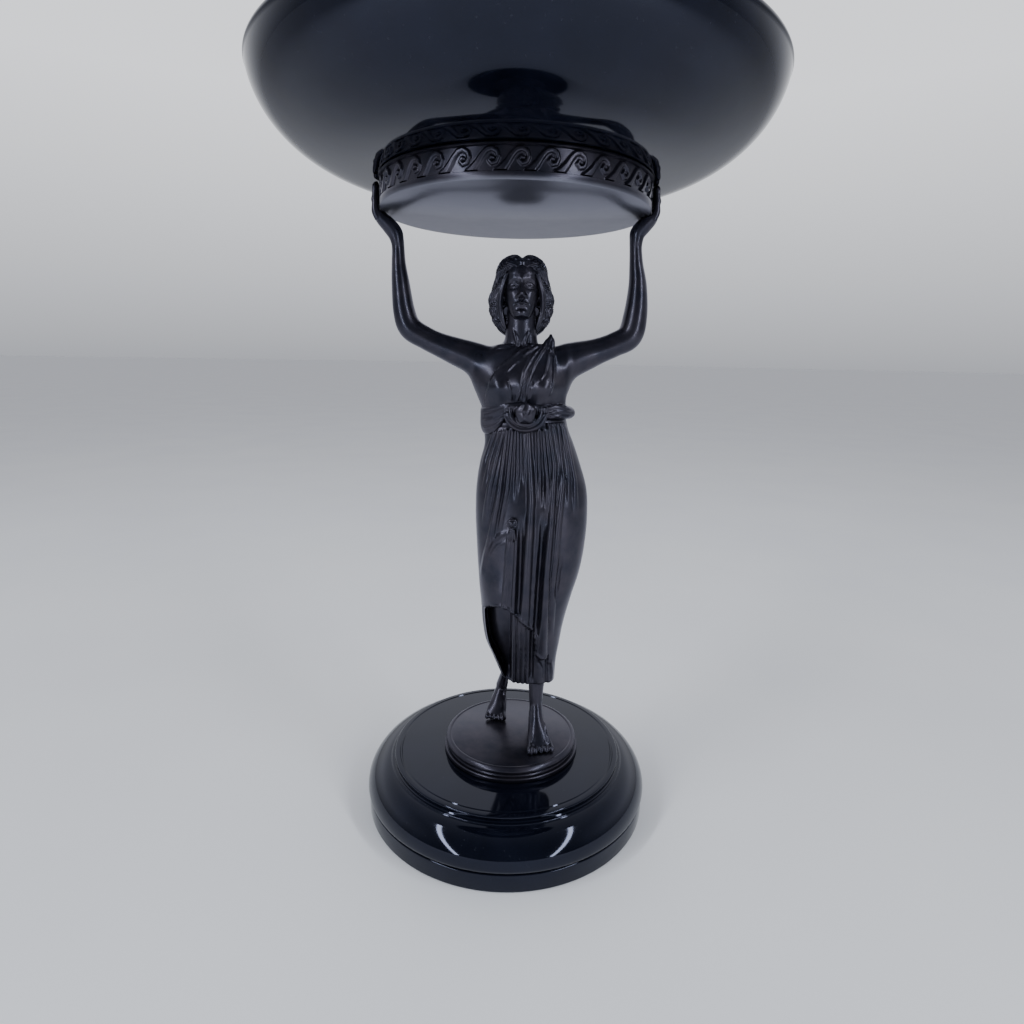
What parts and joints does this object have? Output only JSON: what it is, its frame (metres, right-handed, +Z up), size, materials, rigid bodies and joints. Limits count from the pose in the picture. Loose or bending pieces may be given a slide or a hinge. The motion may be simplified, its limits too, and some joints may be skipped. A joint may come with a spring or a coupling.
{
  "type": "figural centrepiece statue",
  "caption": "Bronze woman in a draped dress, standing on a turned marble base, raised hands carrying a wave-frieze disc and a wide hollow black bowl",
  "frame": {"origin": "centre of the base's underside, on the surface it stands on", "axes": "+Z up, the woman faces -Y, her left hand towards +X"},
  "size_m": [0.3, 0.3, 0.4658],
  "materials": {
    "black_marble": "polished black marble",
    "patinated_bronze": "brown-black patinated bronze, satin gloss"
  },
  "bodies": {
    "root": {"marble_base": "black_marble", "bronze_plinth": "patinated_bronze", "woman_figure": "patinated_bronze", "frieze_disc": "patinated_bronze", "marble_bowl": "black_marble"}
  },
  "joints": []
}
